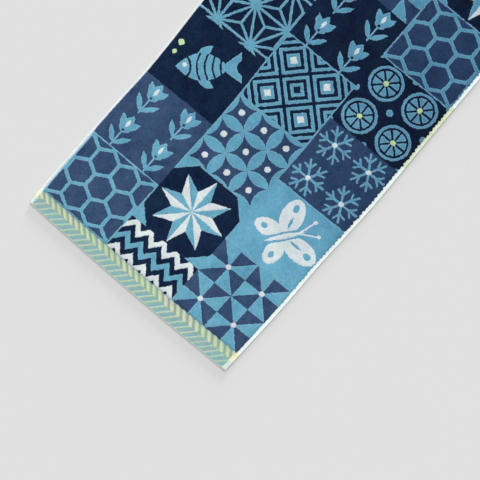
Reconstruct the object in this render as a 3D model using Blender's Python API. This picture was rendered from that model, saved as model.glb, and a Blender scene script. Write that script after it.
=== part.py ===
# Hand towel laid flat: one woven cotton cloth, with a field of cut pile, a flat hem band at each
# short end and a bare selvedge down each long side.
# Metres, +X across the towel, +Y along it, +Z up. The origin is under the middle of its box.

import math

import bmesh
import bpy
import numpy as np

# The cut of the cloth
TOWEL_WIDTH = 0.340
TOWEL_LENGTH = 0.800
HEM_DEPTH = 0.0277
LEFT_SELVEDGE = 0.0030
RIGHT_SELVEDGE = 0.0048

# Heights above the surface that the towel lies on
PILE_HEIGHT = 0.0034
HEM_THICKNESS = 0.0019
SELVEDGE_THICKNESS = 0.0016
PILE_SWELL = 0.0002
SWELL_TURN_ACROSS = 9.0  # radians of the swell's wave over the width
SWELL_TURN_ALONG = 17.0  # and over the length
PILE_SHOULDER = 0.0012
EDGE_ROUND = 0.0006

# How far each long edge of the laid cloth strays to the right of a straight one, by the distance from
# the near end. The hemmed ends are narrower than the pile between them.
EDGE_STRAYS = (
    {"from_end": 0.000, "left": 0.0012, "right": -0.0003},
    {"from_end": 0.040, "left": 0.0000, "right": 0.0014},
    {"from_end": 0.110, "left": 0.0004, "right": 0.0039},
    {"from_end": 0.190, "left": 0.0015, "right": 0.0046},
    {"from_end": 0.240, "left": 0.0029, "right": 0.0066},
    {"from_end": 0.290, "left": 0.0018, "right": 0.0082},
    {"from_end": 0.345, "left": -0.0008, "right": 0.0079},
    {"from_end": 0.400, "left": -0.0020, "right": 0.0072},
    {"from_end": 0.560, "left": -0.0005, "right": 0.0060},
    {"from_end": 0.700, "left": 0.0005, "right": 0.0030},
    {"from_end": 0.800, "left": 0.0010, "right": 0.0005},
)

# The near left corner is drawn in, and both hems bow outwards
CORNER_DRAW = 0.0076
CORNER_POWER = 1.7
CORNER_REACH = 0.040
HEM_BOW = 0.0012

# Facets across and along the pile field
FIELD_COLUMNS = 16
FIELD_ROWS = 38

TOWEL_NAME = "towel"
PILE_BLUE = (0.075, 0.145, 0.235, 1.0)
PILE_ROUGHNESS = 0.92
SHARP_ANGLE = math.radians(30)


def clear_scene():
    for old in list(bpy.data.objects):
        bpy.data.objects.remove(old, do_unlink=True)


def cloth_material():
    material = bpy.data.materials.new("cotton_pile")
    material.use_nodes = True
    shader = material.node_tree.nodes["Principled BSDF"]
    shader.inputs["Base Color"].default_value = PILE_BLUE
    shader.inputs["Roughness"].default_value = PILE_ROUGHNESS
    shader.inputs["Metallic"].default_value = 0.0
    return material


def grid_lines(length, first_margin, last_margin, cells):
    """Places across a length: the rounded rim, the pile's foot and shoulder, then even cells."""
    half = length / 2
    start = -half + first_margin
    end = half - last_margin
    field = np.linspace(start + PILE_SHOULDER, end - PILE_SHOULDER, cells + 1)
    return np.concatenate(([-half + EDGE_ROUND, start], field, [end, half - EDGE_ROUND]))


def stray_of(edge, from_end):
    """A smooth curve through an edge's places, each piece a cubic that meets its neighbours' slopes."""
    places = np.array([row["from_end"] for row in EDGE_STRAYS])
    strays = np.array([row[edge] for row in EDGE_STRAYS])
    slopes = np.gradient(strays, places)
    piece = np.clip(np.searchsorted(places, from_end, side="right") - 1, 0, len(places) - 2)
    span = places[piece + 1] - places[piece]
    t = np.clip((from_end - places[piece]) / span, 0, 1)
    ease = t * t * (3 - 2 * t)
    leaving = slopes[piece] * t * (1 - t) ** 2
    arriving = slopes[piece + 1] * t * t * (1 - t)
    return strays[piece] * (1 - ease) + strays[piece + 1] * ease + span * (leaving - arriving)


def laid_outline(x, y):
    """Moves points of the true rectangle to where the laid towel has them."""
    across = (x + TOWEL_WIDTH / 2) / TOWEL_WIDTH
    along = (y + TOWEL_LENGTH / 2) / TOWEL_LENGTH
    from_end = y + TOWEL_LENGTH / 2
    left_stray = stray_of("left", from_end)
    right_stray = stray_of("right", from_end)
    shifted_x = x + left_stray * (1 - across) + right_stray * across

    draw = CORNER_DRAW * (1 - across) ** CORNER_POWER * np.exp(-from_end / CORNER_REACH)
    bow = HEM_BOW * np.sin(math.pi * across)
    return shifted_x, y + draw + bow * (2 * along - 1)


def cloth_height(x, y):
    """Height of the upper face: pile in the field, thinner cloth in hems and selvedges."""
    foot = EDGE_ROUND / 2
    in_field_x = (x > LEFT_SELVEDGE - TOWEL_WIDTH / 2 + foot) & (
        x < TOWEL_WIDTH / 2 - RIGHT_SELVEDGE - foot
    )
    in_field_y = np.abs(y) < TOWEL_LENGTH / 2 - HEM_DEPTH - foot
    wave = np.sin(SWELL_TURN_ACROSS * x / TOWEL_WIDTH) * np.cos(SWELL_TURN_ALONG * y / TOWEL_LENGTH)
    flat_cloth = np.where(in_field_y, SELVEDGE_THICKNESS, HEM_THICKNESS)
    return np.where(in_field_x & in_field_y, PILE_HEIGHT - PILE_SWELL * (1 - wave), flat_cloth)


def rim_indices(columns, rows):
    """Grid places around the border, anticlockwise seen from above."""
    near = [(i, 0) for i in range(columns)]
    right = [(columns - 1, j) for j in range(1, rows)]
    far = [(i, rows - 1) for i in range(columns - 2, -1, -1)]
    left = [(0, j) for j in range(rows - 2, 0, -1)]
    return near + right + far + left


def build_towel():
    x_lines = grid_lines(TOWEL_WIDTH, LEFT_SELVEDGE, RIGHT_SELVEDGE, FIELD_COLUMNS)
    y_lines = grid_lines(TOWEL_LENGTH, HEM_DEPTH, HEM_DEPTH, FIELD_ROWS)
    columns, rows = len(x_lines), len(y_lines)
    flat_x, flat_y = np.meshgrid(x_lines, y_lines, indexing="ij")
    top_x, top_y = laid_outline(flat_x, flat_y)
    top_z = cloth_height(flat_x, flat_y)

    # The rim's widest line lies half way up the cloth, EDGE_ROUND outside the upper and lower faces.
    rim = rim_indices(columns, rows)
    rim_x = np.array([flat_x[place] for place in rim])
    rim_y = np.array([flat_y[place] for place in rim])
    on_side = np.isclose(np.abs(rim_x), TOWEL_WIDTH / 2 - EDGE_ROUND)
    on_end = np.isclose(np.abs(rim_y), TOWEL_LENGTH / 2 - EDGE_ROUND)
    wide_x, wide_y = laid_outline(
        rim_x + np.sign(rim_x) * EDGE_ROUND * on_side,
        rim_y + np.sign(rim_y) * EDGE_ROUND * on_end,
    )
    middle_x = (wide_x.max() + wide_x.min()) / 2
    middle_y = (wide_y.max() + wide_y.min()) / 2

    towel = bmesh.new()
    top = {}
    for i in range(columns):
        for j in range(rows):
            place = (top_x[i, j] - middle_x, top_y[i, j] - middle_y, top_z[i, j])
            top[i, j] = towel.verts.new(place)
    for i in range(columns - 1):
        for j in range(rows - 1):
            towel.faces.new((top[i, j], top[i + 1, j], top[i + 1, j + 1], top[i, j + 1]))

    wide_ring = []
    floor_ring = []
    for place, x, y in zip(rim, wide_x, wide_y):
        upper = top[place].co
        wide_ring.append(towel.verts.new((x - middle_x, y - middle_y, upper.z / 2)))
        floor_ring.append(towel.verts.new((upper.x, upper.y, 0.0)))
    top_ring = [top[place] for place in rim]
    for upper_ring, lower_ring in ((top_ring, wide_ring), (wide_ring, floor_ring)):
        for k in range(len(rim)):
            after = (k + 1) % len(rim)
            towel.faces.new((upper_ring[k], lower_ring[k], lower_ring[after], upper_ring[after]))
    towel.faces.new(list(reversed(floor_ring)))
    bmesh.ops.recalc_face_normals(towel, faces=towel.faces)

    mesh = bpy.data.meshes.new(TOWEL_NAME)
    towel.to_mesh(mesh)
    towel.free()
    mesh.materials.append(cloth_material())
    mesh.shade_smooth()
    mesh.set_sharp_from_angle(angle=SHARP_ANGLE)
    cloth = bpy.data.objects.new(TOWEL_NAME, mesh)
    bpy.context.scene.collection.objects.link(cloth)
    return cloth


clear_scene()
build_towel()
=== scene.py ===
# Hand towel laid flat: short cut pile woven in a patchwork of blues, herringbone hem bands and
# white selvedges, seen from above on a pale floor.

import math

import bpy
import numpy as np
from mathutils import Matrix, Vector


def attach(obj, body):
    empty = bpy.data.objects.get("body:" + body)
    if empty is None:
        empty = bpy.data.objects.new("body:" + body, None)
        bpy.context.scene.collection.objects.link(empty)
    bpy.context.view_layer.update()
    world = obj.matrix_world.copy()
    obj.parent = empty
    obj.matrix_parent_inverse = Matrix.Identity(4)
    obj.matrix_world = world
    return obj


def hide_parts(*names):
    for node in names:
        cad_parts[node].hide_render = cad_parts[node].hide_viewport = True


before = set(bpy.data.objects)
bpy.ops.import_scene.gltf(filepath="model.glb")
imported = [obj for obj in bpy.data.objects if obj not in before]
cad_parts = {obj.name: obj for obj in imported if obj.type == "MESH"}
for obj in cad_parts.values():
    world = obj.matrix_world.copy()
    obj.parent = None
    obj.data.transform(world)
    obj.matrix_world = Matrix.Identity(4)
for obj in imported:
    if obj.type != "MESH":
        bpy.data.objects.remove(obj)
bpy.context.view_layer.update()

mm = 0.001
dice = np.random.default_rng(34)


# The cut of the cloth, as the solid has it
cloth = {
    "width": 340 * mm,
    "length": 800 * mm,
    "hemDepth": 27.7 * mm,
    "leftSelvedge": 3.0 * mm,
    "rightSelvedge": 4.8 * mm,
    "pileHeight": 3.4 * mm,
    "hemThickness": 1.9 * mm,
    "selvedgeThickness": 1.6 * mm,
    "groundThickness": 1.0 * mm,  # the woven ground under the pile
    "swell": 0.2 * mm,
    "swellAcross": 9.0,  # radians of the swell's wave over the width
    "swellAlong": 17.0,
}
fieldWidth = cloth["width"] - cloth["leftSelvedge"] - cloth["rightSelvedge"]
fieldLength = cloth["length"] - 2 * cloth["hemDepth"]

layout = {
    "cornerDraw": 7.6 * mm,  # the near left corner is drawn in
    "cornerPower": 1.7,
    "cornerReach": 40 * mm,
    "hemBow": 1.2 * mm,
    # How far each long edge strays to the right of a straight one, by the distance from the near end
    "fromEnd": np.array([0, 40, 110, 190, 240, 290, 345, 400, 560, 700, 800]) * mm,
    "left": np.array([1.2, 0.0, 0.4, 1.5, 2.9, 1.8, -0.8, -2.0, -0.5, 0.5, 1.0]) * mm,
    "right": np.array([-0.3, 1.4, 3.9, 4.6, 6.6, 8.2, 7.9, 7.2, 6.0, 3.0, 0.5]) * mm,
}


# A smooth curve through an edge's places: between two of them a cubic that eases from one stray to the
# next and has the slope of the row's neighbours at each.
def strayOf(edge, fromEnd):
    places, strays = layout["fromEnd"], layout[edge]
    slopes = np.gradient(strays, places)
    piece = np.clip(np.searchsorted(places, fromEnd, side="right") - 1, 0, len(places) - 2)
    span = places[piece + 1] - places[piece]
    t = np.clip((fromEnd - places[piece]) / span, 0, 1)
    ease = t * t * (3 - 2 * t)
    leaving = slopes[piece] * t * (1 - t) ** 2
    arriving = slopes[piece + 1] * t * t * (1 - t)
    return strays[piece] * (1 - ease) + strays[piece + 1] * ease + span * (leaving - arriving)


# Sideways, a point takes its share of both edges' strays. Lengthways, the near left corner is drawn in
# by a power of the way across times a falling exponential, and both hems bow outwards by a half sine.
def looseOutline(x, y):
    across = x / cloth["width"] + 0.5
    along = y / cloth["length"] + 0.5
    fromEnd = y + cloth["length"] / 2
    shift = strayOf("left", fromEnd) * (1 - across) + strayOf("right", fromEnd) * across
    toLeft = np.clip(1 - across, 0, 1) ** layout["cornerPower"]
    draw = layout["cornerDraw"] * toLeft * np.exp(-fromEnd / layout["cornerReach"])
    bow = layout["hemBow"] * np.sin(math.pi * across)
    return x + shift, y + draw + bow * (2 * along - 1)


edgeLine = np.linspace(-0.5, 0.5, 801)
leftEdge = looseOutline(-cloth["width"] / 2, edgeLine * cloth["length"])[0]
rightEdge = looseOutline(cloth["width"] / 2, edgeLine * cloth["length"])[0]
nearEdge = looseOutline(edgeLine * cloth["width"], -cloth["length"] / 2)[1]
farEdge = looseOutline(edgeLine * cloth["width"], cloth["length"] / 2)[1]
middleX = (leftEdge.min() + rightEdge.max()) / 2
middleY = (nearEdge.min() + farEdge.max()) / 2


# Points of the cut cloth, measured from its middle, to where they lie with the middle of the laid box at
# the origin, one row a point.
def laidPoints(x, y, z):
    placedX, placedY = looseOutline(x, y)
    return np.stack([(placedX - middleX).ravel(), (placedY - middleY).ravel(), z.ravel()], axis=1)


# Faces come as arrays, one row of corner numbers a face, and go into the mesh as flat lists.
def meshPiece(name, points, faceGroups, material, smooth=False):
    corners = np.concatenate([np.asarray(group).ravel() for group in faceGroups]).astype(np.int32)
    sizes = np.concatenate([np.full(len(group), np.shape(group)[1]) for group in faceGroups])
    starts = np.concatenate(([0], np.cumsum(sizes)[:-1])).astype(np.int32)
    mesh = bpy.data.meshes.new(name)
    mesh.vertices.add(len(points))
    mesh.vertices.foreach_set("co", np.asarray(points, np.float32).ravel())
    mesh.loops.add(len(corners))
    mesh.loops.foreach_set("vertex_index", corners)
    mesh.polygons.add(len(sizes))
    mesh.polygons.foreach_set("loop_start", starts)
    mesh.update(calc_edges=True)
    mesh.polygons.foreach_set("use_smooth", np.full(len(sizes), smooth))
    mesh.materials.append(material)
    piece = bpy.data.objects.new(name, mesh)
    bpy.context.scene.collection.objects.link(piece)
    return piece


# Four-sided faces between the neighbours of a grid of points that is numbered row by row.
def gridFaces(rows, columns):
    corner = np.arange(rows - 1)[:, None] * columns + np.arange(columns - 1)[None, :]
    return np.stack([corner, corner + 1, corner + columns + 1, corner + columns], axis=-1).reshape(-1, 4)


# One colour for each point, or for each corner of each face, as the domain says.
def setColours(piece, domain, colours):
    layer = piece.data.color_attributes.new("yarnColour", "FLOAT_COLOR", domain)
    rgba = np.ones((len(colours), 4), np.float32)
    rgba[:, :3] = colours
    layer.data.foreach_set("color", rgba.ravel())


# Display values of 0 to 255 to the linear light that shaders work in.
def linear(red, green, blue):
    share = np.array([red, green, blue], float) / 255
    return np.where(share <= 0.04045, share / 12.92, ((share + 0.055) / 1.055) ** 2.4)


# A smooth random field: white noise on a coarse grid, read between its points along both directions.
def softNoise(rows, columns, cellsAcross, cellsAlong):
    coarse = dice.normal(size=(cellsAlong + 2, cellsAcross + 2))
    along = np.linspace(0, cellsAlong, rows)
    across = np.linspace(0, cellsAcross, columns)
    j, i = along.astype(int), across.astype(int)
    v, u = along - j, across - i
    v, u = (v * v * (3 - 2 * v))[:, None], (u * u * (3 - 2 * u))[None, :]
    near = coarse[j][:, i] * (1 - u) + coarse[j][:, i + 1] * u
    far = coarse[j + 1][:, i] * (1 - u) + coarse[j + 1][:, i + 1] * u
    return near * (1 - v) + far * v


# Adds noise that grows with the colour's 0.6th power, so that it looks stronger in dark yarns.
def mottled(colour, noise):
    return np.clip(colour + noise * colour**0.6, 0, 1)


# The first colour where the share is 0, the second where it is 1, and a straight blend between.
def mixed(first, second, share):
    return first + (second - first) * share[..., None]


# A cubic from 0 at the low value to 1 at the high one, level at both.
def smoothStep(low, high, value):
    t = np.clip((value - low) / (high - low), 0, 1)
    return t * t * (3 - 2 * t)


# A bell curve: 1 at its middle, falling off with the square of the distance in spreads.
def bell(value, middle, spread):
    return np.exp(-(((value - middle) / spread) ** 2))


# 1 inside half a width of a line, 0 outside, with soft edges.
def softBar(distance, half, soft):
    return np.clip((half - np.abs(distance)) / soft + 0.5, 0, 1)


# The pile's yarns: the colour, how much of the painted falloff shade shows in it, and the yarn behind it
# on the back
yarns = [
    {"name": "navy", "colour": linear(10, 31, 58), "falloffShade": 1.0, "behind": "lightBlue"},
    {"name": "slate", "colour": linear(51, 73, 105), "falloffShade": 1.0, "behind": "sky"},
    {"name": "lightBlue", "colour": linear(99, 158, 182), "falloffShade": 0.7, "behind": "navy"},
    {"name": "sky", "colour": linear(102, 161, 186), "falloffShade": 0.7, "behind": "slate"},
    {"name": "white", "colour": linear(203, 211, 213), "falloffShade": 0.3, "behind": "navy"},
    {"name": "paleYellow", "colour": linear(190, 212, 160), "falloffShade": 0.4, "behind": "slate"},
]
yarnNames = [row["name"] for row in yarns]
navy, slate, lightBlue, sky, white, paleYellow = range(len(yarns))
yarnColours = np.array([row["colour"] for row in yarns])
yarnFalloffShade = np.array([row["falloffShade"] for row in yarns])
yarnBehind = np.array([yarnNames.index(row["behind"]) for row in yarns])
yarnLightness = yarnColours @ [0.21, 0.72, 0.07]
groundYarn = linear(196, 206, 226)


# Shapes for the weaver's chart. p and q run from -1 to 1 across and along a patch, and every number in
# the motifs is a place or a size in these units.


# The place seen from axes that are turned anticlockwise: a rotation the other way.
def turned(p, q, degrees):
    c, s = math.cos(math.radians(degrees)), math.sin(math.radians(degrees))
    return p * c + q * s, q * c - p * s


# Inside where the squares of both distances in radii add up to less than 1.
def inEllipse(p, q, centreP, centreQ, radiusP, radiusQ, degrees=0):
    a, b = turned(p - centreP, q - centreQ, degrees)
    return (a / radiusP) ** 2 + (b / radiusQ) ** 2 < 1


# A pointed leaf from one tip to the other, its edges two parabolas.
def inLeaf(p, q, fromP, fromQ, toP, toQ, fatness):
    length = math.hypot(toP - fromP, toQ - fromQ)
    degrees = math.degrees(math.atan2(toQ - fromQ, toP - fromP))
    a, b = turned(p - (fromP + toP) / 2, q - (fromQ + toQ) / 2, degrees)
    t = a / (length / 2)
    return (np.abs(t) < 1) & (np.abs(b) < fatness * (1 - t * t))


# A line with round ends: all points nearer to it than half its width.
def onLine(p, q, fromP, fromQ, toP, toQ, width):
    spanP, spanQ = toP - fromP, toQ - fromQ
    t = np.clip(((p - fromP) * spanP + (q - fromQ) * spanQ) / (spanP**2 + spanQ**2), 0, 1)
    return np.hypot(p - fromP - t * spanP, q - fromQ - t * spanQ) < width / 2


# Repeats a unit: the place inside the nearest one, from -1 to 1 both ways.
def repeated(p, q, size):
    a, b = p / size, q / size
    return (a - np.floor(a + 0.5)) * 2, (b - np.floor(b + 0.5)) * 2


# Folds the plane into equal sectors: the radius, and the angle in degrees from the nearest sector's
# middle.
def sectors(a, b, degrees):
    return np.hypot(a, b), (np.degrees(np.arctan2(b, a)) + degrees / 2) % degrees - degrees / 2


# A narrow frame just inside the border of a patch that is two half rows tall, a little less than its
# width.
def inFrame(p, q):
    missing = 1 - 2 * halfRow / columnWidth
    return np.maximum(np.abs(p), np.abs(q) + missing) > 0.965


# Hexagons in rows that are shifted by half: a point lies in one if the nearest middle, measured square
# to the hexagon's closest side, is near enough.
def hexagonPatch(p, q):
    size = 0.62
    rowHeight = size * math.sqrt(3) / 2
    best = np.full(p.shape, 9.0)
    for rowShift in (0, 1):
        row = np.floor(q / rowHeight) + rowShift
        a = p + (row % 2) * size / 2
        a = a - np.round(a / size) * size
        b = q - row * rowHeight
        flat = np.maximum(np.abs(a), np.abs(a) / 2 + np.abs(b) * math.sqrt(3) / 2)
        best = np.minimum(best, flat)
    return np.where((best < 0.266) & ~inFrame(p, q), slate, lightBlue)


# Four flowers, the same on both sides of a stem: leaves for petals, two leaves below.
def tulipPatch(p, q):
    a, b = repeated(p + 0.5, q + 0.5, 1.0)
    side = np.abs(a)
    yarn = np.full(p.shape, slate)
    plant = inLeaf(side, b, 0.02, 0.02, 0.50, 0.70, 0.17) | inLeaf(a, b, 0, -0.1, 0, 0.86, 0.24)
    plant |= inEllipse(a, b, 0, 0.14, 0.30, 0.24) | onLine(a, b, 0, -0.88, 0, 0.1, 0.085)
    plant |= inLeaf(side, b, 0.0, -0.80, 0.62, -0.10, 0.13)
    yarn[plant] = lightBlue
    yarn[inLeaf(a, b, 0, 0.16, 0, 0.62, 0.085)] = white
    yarn[inEllipse(a, b, 0, 0.02, 0.07, 0.07)] = slate
    return yarn


# Diamonds in diamonds: rings of equal steps in the sum of both distances.
def diamondPatch(p, q):
    a, b = repeated(p + 0.5, q + 0.5, 1.0)
    ring = np.floor((np.abs(a) + np.abs(b)) / 0.222).astype(int)
    yarn = np.where(ring % 2 == 0, slate, lightBlue)
    yarn[ring == 0] = white
    yarn[inFrame(p, q)] = lightBlue
    return yarn


# Snow crystals: one arm with a side branch, folded round six times.
def snowPatch(p, q):
    yarn = np.full(p.shape, slate)
    a, b = repeated(p + 0.5, q + 0.5, 1.0)
    radius, angle = sectors(a, b, 60)
    fold = np.radians(np.abs(angle))
    x, y = radius * np.cos(fold), radius * np.sin(fold)
    flake = onLine(x, y, 0, 0, 0.88, 0, 0.11) | onLine(x, y, 0.46, 0, 0.70, 0.25, 0.10)
    yarn[flake] = lightBlue
    yarn[radius < 0.12] = white
    return yarn


# Overlapping rings: petals where two circles about neighbouring middles cover each other.
def ringPatch(p, q):
    size = 0.667
    a = np.abs(p / size - np.round(p / size))
    b = np.abs(q / size - np.round(q / size))
    petal = ((1 - a) ** 2 + b * b < 0.5) | (a * a + (1 - b) ** 2 < 0.5)
    yarn = np.where(petal | inFrame(p, q), lightBlue, slate)
    yarn[(np.hypot(a, b) < 0.115) & (np.maximum(np.abs(p), np.abs(q)) < 0.9)] = white
    return yarn


# Slices of fruit: a rind, a ring of pith and eight spokes, with a dot between four slices.
def citrusPatch(p, q):
    a, b = repeated(p + 0.5, q + 0.5, 1.0)
    radius, angle = sectors(a, b, 45)
    yarn = np.full(p.shape, slate)
    yarn[radius < 0.86] = lightBlue
    yarn[(radius < 0.72) & (radius > 0.62)] = slate
    yarn[(radius < 0.72) & (np.abs(radius * np.sin(np.radians(angle))) < 0.05)] = slate
    yarn[radius < 0.13] = paleYellow
    yarn[np.hypot(1 - np.abs(a), 1 - np.abs(b)) < 0.17] = lightBlue
    return yarn


# An eight-pointed star: in each sector the points on the inner side of the line from tip to notch, the
# two halves of every point in different yarns.
def starPatch(p, q):
    radius, angle = sectors(p, q, 45)
    x = radius * np.cos(np.radians(angle))
    y = np.abs(radius * np.sin(np.radians(angle)))
    tip, notchX, notchY = 0.93, 0.46, 0.19
    inStar = (x - tip) * notchY - y * (notchX - tip) < 0
    yarn = np.full(p.shape, navy)
    yarn[np.abs(p) + np.abs(q) > 1.54] = lightBlue
    yarn[inStar & (angle >= 0)] = white
    yarn[inStar & (angle < 0)] = lightBlue
    return yarn


# A fish from leaves, with a wedge for a tail, curved stripes, an eye and two bubbles.
def fishPatch(p, q):
    a, b = turned(p, q, 38)
    yarn = np.full(p.shape, navy)
    body = inLeaf(a, b, -0.72, 0, 0.56, 0, 0.33)
    tail = (a > 0.38) & (a < 0.86) & (np.abs(b) < (a - 0.34) * 0.72)
    tail &= ~inEllipse(a, b, 0.98, 0, 0.24, 0.2)
    fins = inLeaf(a, np.abs(b), -0.22, 0.24, 0.18, 0.50, 0.10)
    yarn[body | tail | fins] = lightBlue
    stripe = np.abs((a + 0.12 * np.cos(4 * b)) % 0.19 - 0.095) < 0.023
    yarn[body & stripe & (a > -0.28) & (a < 0.42)] = navy
    yarn[body & (np.abs(np.hypot(a + 0.72, b) - 0.36) < 0.025)] = navy
    yarn[np.hypot(a + 0.50, b - 0.045) < 0.055] = white
    yarn[np.hypot(a + 0.74, b - 0.36) < 0.055] = paleYellow
    yarn[np.hypot(a + 0.58, b - 0.58) < 0.075] = paleYellow
    return yarn


# Pinwheels: every second eighth of a turn about each middle.
def pinwheelPatch(p, q):
    a, b = repeated(p + 0.5, q + 0.5, 1.0)
    blade = np.degrees(np.arctan2(b, a)) % 90 < 45
    yarn = np.where(blade, lightBlue, slate)
    yarn[np.hypot(a, b) < 0.13] = white
    return yarn


# Crosses of two bars, with a dot in each and one between four.
def crossPatch(p, q):
    a, b = repeated(p, q, 0.667)
    cross = ((np.abs(a) < 0.27) & (np.abs(b) < 0.70)) | ((np.abs(b) < 0.27) & (np.abs(a) < 0.70))
    yarn = np.where(cross, navy, white)
    yarn[np.hypot(a, b) < 0.14] = white
    yarn[np.hypot(1 - np.abs(a), 1 - np.abs(b)) < 0.17] = navy
    return yarn


# A triangular lattice with each triangle's middle joined to its corners. A point's three weights add up
# to 1: the smallest gives its distance from an edge, the next two's difference that from a spoke.
def hempPatch(p, q):
    height = 0.84
    b1 = q / height
    b2 = (p * math.sqrt(3) / 2 - q / 2) / height
    b1, b2 = b1 - np.floor(b1), b2 - np.floor(b2)
    upside = 1 - b1 - b2 < 0
    b1, b2 = np.where(upside, 1 - b1, b1), np.where(upside, 1 - b2, b2)
    weights = np.sort(np.stack([b1, b2, 1 - b1 - b2]), axis=0)
    toEdge = weights[0] * height
    toSpoke = (weights[1] - weights[0]) * height / math.sqrt(3)
    return np.where(np.minimum(toEdge, toSpoke) < 0.030, lightBlue, navy)


# A butterfly, the same on both sides: ellipses for wings, a leaf for the body, lines for feelers.
def butterflyPatch(p, q):
    a, b = turned(p - 0.02, q + 0.02, -38)
    side = np.abs(a)
    yarn = np.full(p.shape, sky)
    wings = inEllipse(side, b, 0.43, 0.27, 0.45, 0.27, 36)
    wings |= inEllipse(side, b, 0.30, -0.32, 0.34, 0.21, -50)
    yarn[wings] = white
    yarn[side < 0.105] = sky
    yarn[inEllipse(side, b, 0.60, 0.40, 0.10, 0.075, 36)] = sky
    yarn[inLeaf(side, b, 0.14, 0.10, 0.42, 0.30, 0.035)] = sky
    yarn[inEllipse(side, b, 0.36, -0.40, 0.085, 0.065, -50)] = sky
    yarn[inLeaf(a, b, 0, -0.50, 0, 0.48, 0.062)] = white
    yarn[onLine(side, b, 0.02, 0.38, 0.17, 0.74, 0.04)] = white
    yarn[inEllipse(side, b, 0.18, 0.77, 0.05, 0.05)] = white
    return yarn


# Fir trees of three tiers, each narrower than the one below.
def pinePatch(p, q):
    a = np.abs(repeated(p, q, 0.667)[0])
    b = q / 0.46
    yarn = np.full(p.shape, sky)
    tier = (b + 0.62) % 0.48
    tree = (a < 0.62 - 0.75 * tier - 0.16 * (b + 0.62)) & (b > -0.62) & (b < 0.82)
    trunk = (a < 0.09) & (b <= -0.62) & (b > -0.86)
    yarn[tree | trunk] = white
    return yarn


# Stripes that rise and fall with a triangle wave.
def zigzagPatch(p, q):
    wave = np.abs((p * 2.5 + 0.5) % 1 - 0.5) * 0.5
    band = np.floor((q + wave + 0.97) / 0.19).astype(int) % 4
    return np.choose(band, [navy, lightBlue, navy, white])


# A boat: two straight-edged sails, a hull that narrows downwards and one wave below.
def boatPatch(p, q):
    yarn = np.full(p.shape, sky)
    mainSail = (p > 0.03) & (q > -0.22) & (p < 0.03 + 0.52 * (0.74 - q) / 0.96)
    foreSail = (p < -0.03) & (q > -0.22) & (p > -0.03 - 0.40 * (0.52 - q) / 0.74)
    hull = (q < -0.30) & (q > -0.56) & (np.abs(p) < 0.66 + 0.6 * (q + 0.30))
    sea = np.abs(q + 0.76 + 0.035 * np.sin(p * 16)) < 0.035
    yarn[mainSail | foreSail | hull | sea] = white
    return yarn


# The patchwork: for each column, from the near end, how many half rows a patch is tall, its motif, and
# the yarn that takes the place of slate in it
patchColumns = [
    [
        (2, hexagonPatch, slate),
        (2, tulipPatch, slate),
        (2, fishPatch, navy),
        (2, hempPatch, slate),
        (2, citrusPatch, navy),
        (2, crossPatch, navy),
        (2, boatPatch, sky),
    ],
    [
        (1, zigzagPatch, navy),
        (2, starPatch, navy),
        (2, ringPatch, slate),
        (2, diamondPatch, navy),
        (2, tulipPatch, navy),
        (2, pinwheelPatch, slate),
        (2, snowPatch, navy),
        (1, pinePatch, sky),
    ],
    [
        (2, pinwheelPatch, slate),
        (2, butterflyPatch, sky),
        (2, snowPatch, slate),
        (2, citrusPatch, navy),
        (2, hexagonPatch, slate),
        (2, starPatch, navy),
        (2, tulipPatch, slate),
    ],
]
columnWidth = fieldWidth / len(patchColumns)
halfRow = fieldLength / sum(tall for tall, motif, base in patchColumns[0])


# Yarn number at each place of the pile field, measured from its near left corner.
def wovenChart(across, along):
    yarn = np.zeros(across.shape, int)
    for column, patches in enumerate(patchColumns):
        centreX = (column + 0.5) * columnWidth
        start = 0
        for tall, motif, base in patches:
            centreY = (start + tall / 2) * halfRow
            inside = (np.abs(across - centreX) <= columnWidth / 2) & (
                np.abs(along - centreY) <= tall * halfRow / 2
            )
            p = (across[inside] - centreX) / (columnWidth / 2)
            q = (along[inside] - centreY) / (columnWidth / 2)
            woven = motif(p, q)
            yarn[inside] = np.where(woven == slate, base, woven)
            start += tall
    return yarn


# A node group with its inputs, as name, kind and default, and its outputs, as name and kind.
def newGroup(name, inputs, outputs):
    group = bpy.data.node_groups.new(name, "ShaderNodeTree")
    for label, kind, value in inputs:
        socket = group.interface.new_socket(label, in_out="INPUT", socket_type=kind)
        if value is not None:
            socket.default_value = value
    for label, kind in outputs:
        group.interface.new_socket(label, in_out="OUTPUT", socket_type=kind)
    return group, group.nodes.new("NodeGroupInput"), group.nodes.new("NodeGroupOutput")


# One operation on one or two values, each a number or another node's output.
def addMath(tree, operation, first, second=None):
    node = tree.nodes.new("ShaderNodeMath")
    node.operation = operation
    for place, value in enumerate((first, second)):
        if value is None:
            continue
        if isinstance(value, (int, float)):
            node.inputs[place].default_value = value
        else:
            tree.links.new(value, node.inputs[place])
    return node.outputs[0]


# Gives the group's colour times one plus a change, and a height for the bump.
def endGroup(group, start, end, change, height):
    tint = group.nodes.new("ShaderNodeVectorMath")
    tint.operation = "SCALE"
    group.links.new(start.outputs["Colour"], tint.inputs[0])
    group.links.new(addMath(group, "ADD", change, 1.0), tint.inputs["Scale"])
    group.links.new(tint.outputs[0], end.inputs["Colour"])
    group.links.new(height, end.inputs["Height"])


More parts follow.
